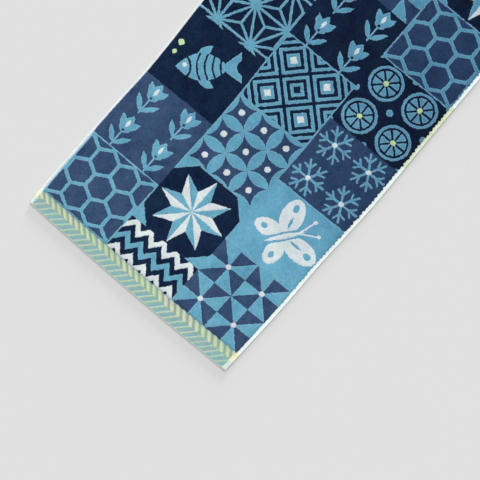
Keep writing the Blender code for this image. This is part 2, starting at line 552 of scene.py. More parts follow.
# Colour times one plus a share of noise: broad patches where the nap was brushed and fine fibre specks.
def fibreToneGroup():
    group, start, end = newGroup(
        "fibreTone",
        [
            ("Colour", "NodeSocketColor", (0.5, 0.5, 0.5, 1)),
            ("Nap Scale", "NodeSocketFloat", 40.0),
            ("Nap Strength", "NodeSocketFloat", 0.1),
            ("Speck Scale", "NodeSocketFloat", 900.0),
            ("Speck Strength", "NodeSocketFloat", 0.1),
        ],
        [("Colour", "NodeSocketColor"), ("Height", "NodeSocketFloat")],
    )
    place = group.nodes.new("ShaderNodeTexCoord")
    tones = []
    for kind, detail in (("Nap", 3), ("Speck", 2)):
        noise = group.nodes.new("ShaderNodeTexNoise")
        noise.inputs["Detail"].default_value = detail
        group.links.new(place.outputs["Object"], noise.inputs["Vector"])
        group.links.new(start.outputs[f"{kind} Scale"], noise.inputs["Scale"])
        centred = addMath(group, "SUBTRACT", noise.outputs["Fac"], 0.5)
        tones.append(addMath(group, "MULTIPLY", centred, start.outputs[f"{kind} Strength"]))
    endGroup(group, start, end, addMath(group, "ADD", tones[0], tones[1]), noise.outputs["Fac"])
    return group


# Threads as rows of half-round ridges: the size of a sine across them, with painted shade in the dips and
# a little painted light on the crests.
def threadGroup():
    group, start, end = newGroup(
        "threadRibs",
        [
            ("Colour", "NodeSocketColor", (0.5, 0.5, 0.5, 1)),
            ("Vector", "NodeSocketVector", None),
            ("Across Count", "NodeSocketFloat", 1200.0),
            ("Along Count", "NodeSocketFloat", 900.0),
            ("Dip Shade Strength", "NodeSocketFloat", 0.15),
            ("Level", "NodeSocketFloat", 0.6),
        ],
        [("Colour", "NodeSocketColor"), ("Height", "NodeSocketFloat")],
    )
    parts = group.nodes.new("ShaderNodeSeparateXYZ")
    group.links.new(start.outputs["Vector"], parts.inputs[0])
    ridges = []
    for axis, count in (("X", "Across Count"), ("Y", "Along Count")):
        turns = addMath(group, "MULTIPLY", parts.outputs[axis], start.outputs[count])
        wave = addMath(group, "SINE", addMath(group, "MULTIPLY", turns, math.pi))
        ridges.append(addMath(group, "ABSOLUTE", wave))
    height = addMath(group, "MULTIPLY", ridges[0], ridges[1])
    above = addMath(group, "SUBTRACT", height, start.outputs["Level"])
    dip = addMath(group, "MULTIPLY", above, start.outputs["Dip Shade Strength"])
    endGroup(group, start, end, dip, height)
    return group


fibreTone = fibreToneGroup()
threadRibs = threadGroup()

looks = {
    "cutPile": {
        "roughness": 0.95,
        "sheen": 0.08,
        "tone": {"Nap Scale": 28.0, "Nap Strength": 0.08, "Speck Scale": 1400.0, "Speck Strength": 0.2},
        "bump": {"Strength": 0.5, "Distance": 0.3 * mm},
    },
    "wovenCotton": {
        "roughness": 0.9,
        "sheen": 0.05,
        "tone": {"Nap Scale": 60.0, "Nap Strength": 0.12, "Speck Scale": 1200.0, "Speck Strength": 0.2},
        "threads": {"Across Count": 1150.0, "Along Count": 1500.0, "Dip Shade Strength": 0.2},
        "bump": {"Strength": 0.5, "Distance": 0.2 * mm},
    },
    "sheenRoughness": 0.5,
    "specular": 0.06,
}


# A node with its group or without, and with some of its inputs set.
def addNode(material, kind, values, group=None):
    node = material.node_tree.nodes.new(kind)
    if group is not None:
        node.node_tree = group
    for label, value in values.items():
        node.inputs[label].default_value = value
    return node


# A dull material: the plain shader with some roughness and a sheen like cotton's.
def bareMaterial(name, roughness, sheen):
    material = bpy.data.materials.new(name)
    material.use_nodes = True
    shader = material.node_tree.nodes["Principled BSDF"]
    shader.inputs["Roughness"].default_value = roughness
    shader.inputs["Sheen Weight"].default_value = sheen
    shader.inputs["Sheen Roughness"].default_value = looks["sheenRoughness"]
    shader.inputs["Specular IOR Level"].default_value = looks["specular"]
    return material, shader


# Yarn: the mesh's own colour goes through the fibre tone, then through the threads where there are some,
# and the height of the last of them is the bump.
def yarnMaterial(name):
    look = looks[name]
    material, shader = bareMaterial(name, look["roughness"], look["sheen"])
    links = material.node_tree.links
    yarn = addNode(material, "ShaderNodeAttribute", {})
    yarn.attribute_name = "yarnColour"
    last = addNode(material, "ShaderNodeGroup", look["tone"], fibreTone)
    links.new(yarn.outputs["Color"], last.inputs["Colour"])
    if "threads" in look:
        place = addNode(material, "ShaderNodeTexCoord", {})
        threads = addNode(material, "ShaderNodeGroup", look["threads"], threadRibs)
        links.new(last.outputs["Colour"], threads.inputs["Colour"])
        links.new(place.outputs["Object"], threads.inputs["Vector"])
        last = threads
    links.new(last.outputs["Colour"], shader.inputs["Base Color"])
    bump = addNode(material, "ShaderNodeBump", look["bump"])
    links.new(last.outputs["Height"], bump.inputs["Height"])
    links.new(bump.outputs[0], shader.inputs["Normal"])
    return material


cutPile = yarnMaterial("cutPile")
wovenCotton = yarnMaterial("wovenCotton")
print("materials made")


hem = {
    "stepsAcross": 600,
    "stepsDeep": 52,
    "foldSteps": 5,
    "foldRadius": 1.2 * mm,
    "foldFoot": 0.4 * mm,
    "sideRadius": 0.7 * mm,
    "sideDrop": 0.8,
    "underPile": 1.2 * mm,
    "barRelief": 0.20 * mm,
    "heightNoise": 0.012 * mm,
    "period": 10.2 * mm,
    "laneLeft": 16.7 * mm,  # depth where the two lanes meet, at each side
    "laneRight": 15.6 * mm,
    "meetingSoft": 1.4 * mm,
    "meetingDip": 0.08 * mm,
    "dipSpread": 0.5 * mm,
    "outerMiddle": 7.5 * mm,
    "innerMiddle": 22.0 * mm,
    # Along the hem, at each lane's middle depth: where its lines or bars lie, in periods, how many
    # periods they move for each millimetre further in, and how strongly the outer lines show
    "drift": {
        "at": np.array([20, 50, 80, 110, 170, 230, 260, 290, 320]) * mm,
        "outer": [-0.05, -0.03, 0.02, 0.00, 0.06, 0.28, 0.33, 0.29, 0.11],
        "outerSlant": [0.081, 0.088, 0.088, 0.085, 0.083, 0.085, 0.091, 0.096, 0.094],
        "inner": [0.46, 0.49, 0.35, 0.49, 0.64, 0.60, 0.70, 0.78, 0.86],
        "innerSlant": [-0.087, -0.096, -0.098, -0.085, -0.088, -0.078, -0.072, -0.071, -0.068],
        "show": [0.8, 0.78, 0.85, 0.8, 0.95, 0.95, 0.92, 0.8, 0.75],
    },
    "leftEnd": 3.6 * mm,
    "rightEnd": 6.4 * mm,
    "endSoft": 1.4 * mm,
    "rimReach": 1.5 * mm,
    "yellowMiddle": 20 * mm,  # depth of the left end's yellow stretch
    "yellowSpread": 6 * mm,
    "yellowFrom": 13 * mm,  # depth from where the right end turns yellow
    "yellowTo": 18 * mm,
    "edgeDepth": 0.9 * mm,
    "edgeSoft": 0.8 * mm,
    "seamShadeShare": 0.5,  # how much of the seam's blue-grey and of the painted shade shows at the foot of the pile
    "seamShadeReach": 1.0 * mm,
    "mottle": 0.022,
    "mottleCells": [(130, 9), (130, 11), (130, 13)],
    # The weave within a period: half widths, soft edges, and heights as a share of the relief
    "weave": {
        "lineHalf": 0.15,
        "lineSoft": 0.15,
        "ribHalf": 0.27,
        "ribSoft": 0.16,
        "ribHeight": 0.85,
        "tealAt": 0.2,
        "tealFade": 2,
        "barHalf": 0.31,
        "barSoft": 0.12,
        "barTaper": 0.8,
        "taperPower": 6,
        "splitAt": 0.47,
        "splitHalf": 0.04,
        "splitSoft": 0.08,
        "splitHeight": 0.5,
        "coreAt": -0.06,
        "coreHalf": 0.07,
        "coreSoft": 0.16,
        "coreLeast": 0.25,
        "coreVaries": 0.6,
        "tipFrom": 0.7,  # share of the inner lane from where its bars pale
        "tipRise": 4,
        "tintMiddle": 0.4,
        "tintSpread": 0.35,
    },
    "colours": {
        "blue": linear(128, 171, 182),
        "blueLilac": linear(142, 165, 172),
        "teal": linear(132, 171, 158),
        "line": linear(179, 203, 171),
        "lineCream": linear(189, 198, 180),
        "bar": linear(181, 208, 166),
        "barCream": linear(201, 205, 182),
        "barLight": linear(222, 229, 196),
        "barTip": linear(203, 214, 216),
        "gap": linear(140, 165, 143),
        "gapLine": linear(156, 171, 169),
        # the seam's blue-grey, which also carries the painted shade at the foot of the pile
        "seamShade": linear(108, 155, 163),
        # the outer border's pale yarn, made paler by painted light over the fold's shade
        "edge": linear(231, 243, 239),
        "endYellow": linear(236, 238, 196),
        "endPale": linear(208, 221, 214),
        "endRim": linear(226, 234, 230),
    },
}
weave, hemColours = hem["weave"], hem["colours"]


# The depth where the two lanes meet: straight from the left side's value to the right side's.
def meetingAt(x):
    return hem["laneLeft"] + (hem["laneRight"] - hem["laneLeft"]) * x / cloth["width"]


# Two lanes of slanting bars that meet in chevrons. A point's turn is its distance along the hem in
# periods, less where the weave's drift has the lane's middle line and less the slant times the depth from
# the lane's middle. Also how far it lies through the inner lane and how strongly the outer lines show.
def herringbone(x, deep):
    drift = {key: np.interp(x, hem["drift"]["at"], values) for key, values in hem["drift"].items()}
    meeting = meetingAt(x)
    inner = np.clip((deep - meeting) / hem["meetingSoft"] + 0.5, 0, 1)
    outerTurn = drift["outer"] + drift["outerSlant"] * (deep - hem["outerMiddle"]) / mm
    innerTurn = drift["inner"] + drift["innerSlant"] * (deep - hem["innerMiddle"]) / mm
    through = np.clip((deep - meeting) / (cloth["hemDepth"] - meeting), 0, 1)
    return inner, x / hem["period"] - outerTurn, x / hem["period"] - innerTurn, through, drift["show"]


# Numbers the bars of a lane and gives the place in each, from -0.5 to 0.5 about its middle, with two
# random tints of its own.
def barsOf(turns):
    bar = np.floor(turns + 0.5).astype(int)
    before, room = 60, 400
    tints = weave["tintMiddle"] + weave["tintSpread"] * dice.normal(size=(2, room))
    tints = np.clip(tints, 0, 1)
    return turns - bar, tints[0][bar + before], tints[1][bar + before]


# Outer lane: thin pale lines, between them bands from teal to blue or lilac that rise as flat ribs.
# Inner lane: plump bars that taper to both ends, each with a light core and a pale tip, and a thin line
# in every gap. Gives the colour, and the relief from 0 to 1.
def hemPattern(x, deep):
    inner, outerTurns, innerTurns, through, show = herringbone(x, deep)
    phase, barTint, lineTint = barsOf(outerTurns)
    line = softBar(phase, weave["lineHalf"], weave["lineSoft"]) * show
    band = mixed(hemColours["blue"], hemColours["blueLilac"], barTint)
    fromTeal = np.clip(weave["tealFade"] * np.abs(phase - weave["tealAt"]), 0, 1)
    band = mixed(hemColours["teal"], band, fromTeal)
    outerColour = mixed(band, mixed(hemColours["line"], hemColours["lineCream"], lineTint), line)
    rib = softBar(np.abs(phase) - 0.5, weave["ribHalf"], weave["ribSoft"])
    outerRidge = np.maximum(np.sqrt(line), weave["ribHeight"] * np.sqrt(rib))

    phase, barTint, lineTint = barsOf(innerTurns)
    taper = weave["barTaper"] * np.abs(2 * through - 1) ** weave["taperPower"]
    plump = softBar(phase, weave["barHalf"] * np.sqrt(1 - taper), weave["barSoft"])
    split = softBar(np.abs(phase) - weave["splitAt"], weave["splitHalf"], weave["splitSoft"])
    barColour = mixed(hemColours["bar"], hemColours["barCream"], barTint)
    core = softBar(phase - weave["coreAt"], weave["coreHalf"], weave["coreSoft"])
    core = core * (weave["coreLeast"] + weave["coreVaries"] * lineTint)
    barColour = mixed(barColour, hemColours["barLight"], core)
    atTip = np.clip((through - weave["tipFrom"]) * weave["tipRise"], 0, 1)
    barColour = mixed(barColour, hemColours["barTip"], lineTint * atTip)
    innerColour = mixed(mixed(hemColours["gap"], hemColours["gapLine"], split), barColour, plump)
    innerRidge = np.maximum(np.sqrt(plump), weave["splitHeight"] * split)
    return mixed(outerColour, innerColour, inner), np.where(inner < 0.5, outerRidge, innerRidge)


# One hem band as a closed shell: the woven face over a flat back, its outer border rounded over by a
# quarter circle and its two ends by a smaller one.
def hemBand(name, far):
    width, depth = cloth["width"], cloth["hemDepth"]
    across = np.linspace(0, width, hem["stepsAcross"] + 1)
    fold = hem["foldRadius"] * (1 - np.cos(np.linspace(0, math.pi / 2, hem["foldSteps"])))
    afterFold = np.linspace(hem["foldRadius"], depth + hem["underPile"], hem["stepsDeep"])
    deep = np.concatenate([fold, afterFold[1:]])
    gridDeep, gridX = np.meshgrid(deep, across, indexing="ij")
    patternX = width - gridX if far else gridX
    colours, ridge = hemPattern(patternX, gridDeep)

    inFold = np.clip(1 - gridDeep / hem["foldRadius"], 0, 1)
    inSide = np.clip(1 - np.minimum(gridX, width - gridX) / hem["sideRadius"], 0, 1)
    rounding = np.sqrt(1 - inFold**2) * np.sqrt(1 - hem["sideDrop"] * inSide**2)
    dip = hem["meetingDip"] * bell(gridDeep, meetingAt(patternX), hem["dipSpread"])
    body = cloth["hemThickness"] - hem["barRelief"] * (1 - ridge) - dip
    z = hem["foldFoot"] + (body - hem["foldFoot"]) * rounding
    z = z + dice.normal(0, hem["heightNoise"], gridX.shape)
    y = gridDeep - cloth["length"] / 2
    top = laidPoints(gridX - width / 2, -y if far else y, z)

    rows, wide = gridX.shape
    outerLine = np.arange(wide)
    pileLine = (rows - 1) * wide + outerLine
    backOuter = len(top) + outerLine
    backPile = backOuter + wide
    back = np.concatenate([top[outerLine], top[pileLine]]) * [1, 1, 0]
    leftLine = np.arange(rows) * wide
    rightLine = leftLine[::-1] + wide - 1
    groups = [
        gridFaces(rows, wide),
        np.stack([outerLine[1:], outerLine[:-1], backOuter[:-1], backOuter[1:]], axis=1),
        np.stack([pileLine[:-1], pileLine[1:], backPile[1:], backPile[:-1]], axis=1),
        np.stack([backOuter[1:], backOuter[:-1], backPile[:-1], backPile[1:]], axis=1),
        np.concatenate([leftLine, [backPile[0], backOuter[0]]])[None, :],
        np.concatenate([rightLine, [backOuter[-1], backPile[-1]]])[None, :],
    ]
    if far:
        groups = [group[:, ::-1] for group in groups]
    piece = meshPiece(name, np.concatenate([top, back]), groups, wovenCotton, smooth=True)

    # The outer border: a pale yarn made paler by painted light over the fold's shade. The two ends are
    # white with a yellow stretch
    atLitEdge = softBar(gridDeep, hem["edgeDepth"], hem["edgeSoft"])
    colours = mixed(colours, hemColours["edge"], atLitEdge)
    fromEnd = np.where(gridX < width / 2, gridX - hem["leftEnd"], width - hem["rightEnd"] - gridX)
    inEnd = np.clip(0.5 - fromEnd / hem["endSoft"], 0, 1)
    leftYellow = bell(gridDeep, hem["yellowMiddle"], hem["yellowSpread"])
    rightYellow = smoothStep(hem["yellowFrom"], hem["yellowTo"], gridDeep)
    yellow = np.where(patternX < width / 2, leftYellow, rightYellow)
    endColour = mixed(hemColours["endPale"], hemColours["endYellow"], yellow)
    inRim = np.clip(1 - (width - patternX) / hem["rimReach"], 0, 1)
    colours = mixed(colours, mixed(endColour, hemColours["endRim"], inRim), inEnd)

    mottle = [softNoise(rows, wide, *cells) for cells in hem["mottleCells"]]
    mottle = np.mean(mottle, axis=0)[..., None] + np.stack(mottle, axis=-1)
    colours = mottled(colours, hem["mottle"] * mottle)
    # Painted shade at the foot of the pile, blended with the blue-grey of the seam's yarn, darkens the
    # hem's inner edge
    inSeamShade = hem["seamShadeShare"] * np.exp(-np.clip(depth - gridDeep, 0, depth) / hem["seamShadeReach"])
    colours = mixed(colours, hemColours["seamShade"], inSeamShade * (1 - inEnd))
    backRows = [np.abs(deep - hem[lane]).argmin() for lane in ("outerMiddle", "innerMiddle")]
    setColours(piece, "POINT", np.concatenate([colours.reshape(-1, 3), *colours[backRows]]))
    return piece


hems = [hemBand("hemNear", False), hemBand("hemFar", True)]
print("hem bands made")


pile = {
    "columns": 276,
    "rows": 617,
    "strips": 4,
    "relief": 0.26 * mm,  # from the foot of a tuft to its tip
    "tipSpread": 0.06 * mm,
    "footSpread": 0.04 * mm,
    "wander": 0.10 * mm,
    "lean": 0.16 * mm,
    "leanBack": 0.4,  # the shares of a tuft's lean: all one way, with the nap, and its own
    "leanNap": 0.5,
    "leanOwn": 0.6,
    "leanCells": (13, 30),
    "chartWobble": 0.3 * mm,  # the motifs' borders are a little uneven
    "wobbleCells": (133, 298),
    "chartRim": 0.01 * mm,
    "edgeDrop": 1.0 * mm,
    "edgeReach": 1.1 * mm,
    "jag": 0.28 * mm,
    "jagSides": -0.6,  # how far the ragged borders go outwards, for 1 inwards
    "jagEnds": -0.4,
    "tuftNoise": 0.036,
    "fineNoise": 0.018,
    "fineCells": [(110, 246), (60, 134)],
    "napNoise": 0.025,  # soft light and dark places where the nap lies differently
    "napCells": [(28, 62), (14, 31)],
    "hueNoise": 0.014,
    "hueCells": [(46, 103), (50, 112), (54, 120)],
    "falloffAcross": 0.20,  # painted shade of a light falloff: how much darker the colour is made further on
    "falloffAlong": 0.06,
    "acrossRise": (0.12, 0.36),  # where along the field each of the two sets in
    "alongRise": (0.34, 0.58),
    "falloffChannels": [1.3, 1.0, 0.75],
    "falloffPower": 2.2,
    "edgeShade": 0.08,
    "shadeReach": 5 * mm,
    "seamDip": 0.13 * mm,  # a colour change leaves a fine groove
    "tipDip": 0.5,
    "seamPale": 0.12,
    "paleStep": 0.1,  # how much darker a neighbour is that makes a tuft look paler
    "toothPitch": 3.0 * mm,
    "toothIn": 1.6 * mm,
    "toothOut": 1.5 * mm,
    "toothSmall": 0.35,  # the teeth's share beside the near hem, up to the first of these two places
    "toothGrows": [95 * mm, 120 * mm],
    "borderReach": 2.5 * mm,  # how far into the field a border's unevenness is felt
    "leftTurnIn": 1.0 * mm,  # the left border lies further in beside the near hem
    "leftTurnOut": 0.4 * mm,
    "leftTurnAt": (89.25 * mm, 120.75 * mm),
    "barNotch": 0.4 * mm,  # the pile reaches down between the hem's bars
    "wallFoot": 0.9 * mm,
    "wallInset": 0.25 * mm,
    # The map: a strip's thirds side by side in the lowest band, its walls and its back above them
    "map": {
        "thirds": 3,
        "gap": 0.015,
        "tufts": (0.005, 0.935),
        "walls": (0.945, 0.958),
        "back": (0.965, 0.995),
    },
}


# The right border runs in a zigzag of uneven teeth, in and out by turns
toothCount = int(fieldLength / pile["toothPitch"]) + 2
toothPlaces = pile["toothPitch"] * (np.arange(toothCount) + dice.uniform(-0.3, 0.3, toothCount))
toothSigns = np.where(np.arange(toothCount) % 2 == 0, pile["toothOut"], -pile["toothIn"])
toothShifts = toothSigns * dice.uniform(0.2, 1, toothCount)
toothShifts = toothShifts * np.interp(toothPlaces, pile["toothGrows"], [pile["toothSmall"], 1])


# Sideways and lengthways shifts of points near the borders, each falling off exponentially inwards: the
# teeth at the right, a slow turn at the left, and a cosine of the hem bars' turns at both ends.
def borderShift(px, py):
    right = np.interp(py, toothPlaces, toothShifts) * np.exp(-(fieldWidth - px) / pile["borderReach"])
    turn = smoothStep(*pile["leftTurnAt"], py)
    left = pile["leftTurnIn"] * (1 - turn) - pile["leftTurnOut"] * turn
    shiftX = right + left * np.exp(-px / pile["borderReach"])
    inner = np.full(np.shape(px), cloth["hemDepth"])
    nearTurns = herringbone(px + cloth["leftSelvedge"], inner)[2]
    farTurns = herringbone(cloth["width"] - px - cloth["leftSelvedge"], inner)[2]
    near = np.cos(2 * math.pi * nearTurns) * np.exp(-py / pile["borderReach"])
    far = np.cos(2 * math.pi * farTurns) * np.exp(-(fieldLength - py) / pile["borderReach"])
    return shiftX, pile["barNotch"] * (near - far)


# Painted shade of a light falloff: a point's colour is deepened by a share that grows along the
# field, more so to the right. Red is deepened more than blue, and dark yarns more than light ones.
def paintedFalloffShade(px, py, yarn):
    along = py / fieldLength
    deepened = pile["falloffAcross"] * px / fieldWidth * smoothStep(*pile["acrossRise"], along)
    deepened = (deepened + pile["falloffAlong"] * smoothStep(*pile["alongRise"], along)) * yarnFalloffShade[yarn]
    return (1 - deepened[..., None] * pile["falloffChannels"]) ** pile["falloffPower"]


# The pile's surface: the full height, less a swell of two waves and less a drop that falls off
# exponentially from the borders.
def pileHeightAt(px, py):
    toEdge = np.minimum(np.minimum(px, fieldWidth - px), np.minimum(py, fieldLength - py))
    swell = np.sin(cloth["swellAcross"] * (px - fieldWidth / 2) / cloth["width"])
    swell = swell * np.cos(cloth["swellAlong"] * (py - fieldLength / 2) / cloth["length"])
    drop = pile["edgeDrop"] * np.exp(-np.maximum(toEdge, 0) / pile["edgeReach"])
    return cloth["pileHeight"] - cloth["swell"] * (1 - 0.5 * swell) - drop


# The yarn of each tuft, and of each of its four sides, which matters where two colours meet in it. The
# chart is read at places that wander softly from the tufts.
def tuftYarns(tipX, tipY):
    rows, columns = tipX.shape
    chartX = tipX + pile["chartWobble"] * softNoise(rows, columns, *pile["wobbleCells"])
    chartY = tipY + pile["chartWobble"] * softNoise(rows, columns, *pile["wobbleCells"])
    rim = pile["chartRim"]

    # The chart's yarn a little aside of each tuft, never past the field's border.
    def yarnAt(asideX, asideY):
        across = np.clip(chartX + asideX, rim, fieldWidth - rim)
        return wovenChart(across, np.clip(chartY + asideY, rim, fieldLength - rim))

    toSideX, toSideY = fieldWidth / columns / 3, fieldLength / rows / 3
    sides = [yarnAt(0, -toSideY), yarnAt(toSideX, 0), yarnAt(0, toSideY), yarnAt(-toSideX, 0)]
    return yarnAt(0, 0), np.stack(sides, axis=-1)


# Tufts stand in rows and columns, each a low four-sided peak over its own square of the weave. The
# squares' corners lie low between the tufts, and everything falls away at the field's edges.
def pileArrays():
    rows, columns = pile["rows"], pile["columns"]
    x = np.linspace(0, fieldWidth, columns + 1)
    y = np.linspace(0, fieldLength, rows + 1)
    footY, footX = np.meshgrid(y, x, indexing="ij")
    tipY, tipX = np.meshgrid(
        y[:-1] + fieldLength / rows / 2, x[:-1] + fieldWidth / columns / 2, indexing="ij"
    )
    yarn, sideYarn = tuftYarns(tipX, tipY)
    padded = np.pad(yarn, 1, mode="edge")
    around = np.stack([padded[:-2, 1:-1], padded[2:, 1:-1], padded[1:-1, :-2], padded[1:-1, 2:]])
    isSeam = (around != yarn).any(axis=0)
    nextToDarker = (yarnLightness[around] < yarnLightness[yarn] - pile["paleStep"]).any(axis=0)
    quad = np.stack([padded[:-1, :-1], padded[:-1, 1:], padded[1:, :-1], padded[1:, 1:]])
    cornerSeam = (quad != quad[0]).any(axis=0)

    # Heights, the wander of the feet, the ragged borders and the lean of the tips
    footZ = pileHeightAt(footX, footY) - pile["relief"] - pile["seamDip"] * cornerSeam
    footZ += dice.normal(0, pile["footSpread"], footZ.shape)
    tipZ = pileHeightAt(tipX, tipY) + dice.normal(0, pile["tipSpread"], tipX.shape)
    tipZ -= pile["tipDip"] * pile["seamDip"] * isSeam
    footX = footX + dice.normal(0, pile["wander"], footX.shape)
    footY = footY + dice.normal(0, pile["wander"], footY.shape)
    footX[:, 0] = dice.uniform(pile["jagSides"], 1, rows + 1) * pile["jag"]
    footX[:, -1] = fieldWidth - dice.uniform(pile["jagSides"], 1, rows + 1) * pile["jag"]
    footY[0, :] = dice.uniform(pile["jagEnds"], 1, columns + 1) * pile["jag"]
    footY[-1, :] = fieldLength - dice.uniform(pile["jagEnds"], 1, columns + 1) * pile["jag"]
    footShift, tipShift = borderShift(footX, footY), borderShift(tipX, tipY)
    footX, footY = footX + footShift[0], footY + footShift[1]
    tipX, tipY = tipX + tipShift[0], tipY + tipShift[1]
    napX = pile["leanNap"] * softNoise(rows, columns, *pile["leanCells"])
    napY = pile["leanNap"] * softNoise(rows, columns, *pile["leanCells"]) - pile["leanBack"]
    tipX = tipX + pile["lean"] * (napX + dice.normal(0, pile["leanOwn"], tipX.shape))
    tipY = tipY + pile["lean"] * (napY + dice.normal(0, pile["leanOwn"], tipX.shape))

    # Colour: each side's yarn with noise from single tufts up to broad places, then the painted falloff
    # shade, a painted shade at the right border, and the pale ground yarn that shows beside darker tufts
    tone = pile["tuftNoise"] * dice.normal(size=tipX.shape)
    tone += pile["fineNoise"] * sum(softNoise(rows, columns, *cells) for cells in pile["fineCells"])
    tone += pile["napNoise"] * sum(softNoise(rows, columns, *cells) for cells in pile["napCells"])
    hue = [softNoise(rows, columns, *cells) for cells in pile["hueCells"]]
    noise = tone[..., None] + pile["hueNoise"] * np.stack(hue, axis=-1)
    colour = mottled(yarnColours[sideYarn], noise[:, :, None, :])
    # Painted shade: the falloff darkens the colour further along the field and towards the right
    colour = colour * paintedFalloffShade(tipX[..., None], tipY[..., None], sideYarn)
    # Painted shade: every yarn but the white is darkened towards the right border
    shaded = np.exp(-np.clip(fieldWidth - tipX, 0, None) / pile["shadeReach"])
    shaded = 1 - pile["edgeShade"] * shaded[..., None]
    colour = colour * np.where(sideYarn == white, 1, shaded)[..., None]
    isPale = nextToDarker[..., None] & (sideYarn == yarn[..., None])
    colour = mixed(colour, groundYarn, pile["seamPale"] * isPale)
    return (footX, footY, footZ), (tipX, tipY, tipZ), colour


# Points of the pile field, measured from its near left corner, to where they lie.
def fieldPoints(x, y, z):
    fromMiddle = x - cloth["width"] / 2 + cloth["leftSelvedge"]
    return laidPoints(fromMiddle, y - cloth["length"] / 2 + cloth["hemDepth"], z)


# A value from 0 to 1 to its place in a band of the map.
def inBand(band, value):
    return band[0] + (band[1] - band[0]) * value


# One lengthways strip of the field as a closed slab: the tufts, a wall round them and a flat back.
def pileStrip(number, foot, tip, colour):
    rows = pile["rows"]
    perStrip = pile["columns"] // pile["strips"]
    first = number * perStrip
    footPart = [values[:, first : first + perStrip + 1] for values in foot]
    tipPart = [values[:, first : first + perStrip] for values in tip]
    colourPart = colour[:, first : first + perStrip].reshape(-1, 4, 3)
    feet = fieldPoints(*footPart)
    tips = fieldPoints(*tipPart)

    wide = perStrip + 1
    corners = gridFaces(rows + 1, wide)
    peak = len(feet) + np.arange(rows * perStrip)
    sides = [np.stack([corners[:, k], corners[:, (k + 1) % 4], peak], axis=1) for k in range(4)]
    tufts = np.stack(sides, axis=1).reshape(-1, 3)

    nearLine = np.arange(wide)
    rightLine = np.arange(1, rows) * wide + perStrip
    farLine = rows * wide + np.arange(wide)[::-1]
    leftLine = np.arange(rows - 1, 0, -1) * wide
    rim = np.concatenate([nearLine, rightLine, farLine, leftLine])
    middle = feet[rim].mean(axis=0)
    back = feet[rim] - pile["wallInset"] * np.sign(feet[rim] - middle) * [1, 1, 0]
    back[:, 2] = pile["wallFoot"]
    backNumber = len(feet) + len(tips) + np.arange(len(rim))
    after = np.roll(np.arange(len(rim)), -1)
    walls = np.stack([rim, backNumber, backNumber[after], rim[after]], axis=1)
    groups = [tufts, walls, backNumber[::-1][None, :]]
    piece = meshPiece(f"pileStrip{number + 1}", np.concatenate([feet, tips, back]), groups, cutPile)

    # Colours: the three corners of each side of a tuft, then each wall face takes its nearest tuft's
    rimRow = np.clip(rim // wide, 0, rows - 1)
    rimColumn = np.clip(rim % wide, 0, perStrip - 1)
    wallColour = colourPart[rimRow * perStrip + rimColumn].mean(axis=1)
    sideColours = np.repeat(colourPart.reshape(-1, 3), 3, axis=0)
    backColours = np.tile(colourPart.mean(axis=(0, 1)), (len(rim), 1))
    cornerColours = [sideColours, np.repeat(wallColour, 4, axis=0), backColours]
    setColours(piece, "CORNER", np.concatenate(cornerColours))

    # Map: u is the share of the strip's width within its third, v the share of the third's length
    bands = pile["map"]
    stripX = np.concatenate([footPart[0].ravel(), tipPart[0].ravel()])[tufts.ravel()]
    stripY = np.concatenate([footPart[1].ravel(), tipPart[1].ravel()])[tufts.ravel()]
    acrossStrip = (stripX - first * fieldWidth / pile["columns"]) / (fieldWidth / pile["strips"])
    perThird = math.ceil(rows / bands["thirds"])
    third = np.repeat(np.arange(rows) // perThird, perStrip * 12)
    alongThird = stripY / (perThird * fieldLength / rows) - third
    gaps = (bands["gap"], 1 - bands["gap"])
    tuftU = (third + inBand(gaps, np.clip(acrossStrip, 0, 1))) / bands["thirds"]
    tuftV = inBand(bands["tufts"], np.clip(alongThird, 0, 1))
    share = np.arange(len(rim) + 1) / len(rim)
    wallU = np.stack([share[:-1], share[:-1], share[1:], share[1:]], axis=1).ravel()
    low, high = bands["walls"]
    wallV = np.tile([low, high, high, low], len(rim))
    backShare = (back[::-1, :2] - back[:, :2].min(axis=0)) / np.ptp(back[:, :2], axis=0)
    backV = inBand(bands["back"], backShare[:, 0])
    u = np.concatenate([tuftU, wallU, backShare[:, 1]])
    v = np.concatenate([tuftV, wallV, backV])
    layer = piece.data.uv_layers.new(name="OFBake")
    layer.uv.foreach_set("vector", np.stack([u, v], axis=1).astype(np.float32).ravel())
    return piece


foot, tip, tuftColour = pileArrays()
strips = [pileStrip(number, foot, tip, tuftColour) for number in range(pile["strips"])]
print("pile woven:", sum(len(piece.data.polygons) for piece in strips), "faces")


ground = {
    "rows": 560,
    "backColumns": 108,
    "backInset": 0.4 * mm,
    "edgeJitter": 0.12 * mm,
    "heightNoise": 0.03 * mm,
    "backLoop": 0.06 * mm,
    # The face's section: distance from the left edge, or from the right one, and share of the thickness
    "leftSection": [(0, 0.5), (0.35 * mm, 0.9), (0.9 * mm, 1), (1.8 * mm, 1), (3.0 * mm, 0.97)],
    "rightSection": [(6.8 * mm, 0.97)]
    + [(step * mm, 1) for step in (4.0, 3.2, 2.4, 1.6, 0.8)]
    + [(0.35 * mm, 0.9), (0, 0.5)],
    "slope": 1.0 * mm,  # from the selvedge down to the ground under the pile
    "tintFrom": 329 * mm,  # the stretch whose weft is pale yellow at the right
    "tintTo": 432 * mm,
    "tickPitch": 2.6 * mm,  # slanted ticks where the weft turns back
    "tickSlant": 0.8,
    "tickNoise": 0.03,
    "speckNoise": 0.02,
    "tintMiddle": 0.4,
    "tintSpread": 0.5,
    # painted shade: the left selvedge's white is darker than the right's, against the low light on that
    # side
    "leftWhiteShaded": linear(214, 220, 223),
    "rightWhite": linear(235, 247, 244),
    "tint": linear(206, 224, 182),
    "tintPale": linear(222, 227, 210),
}


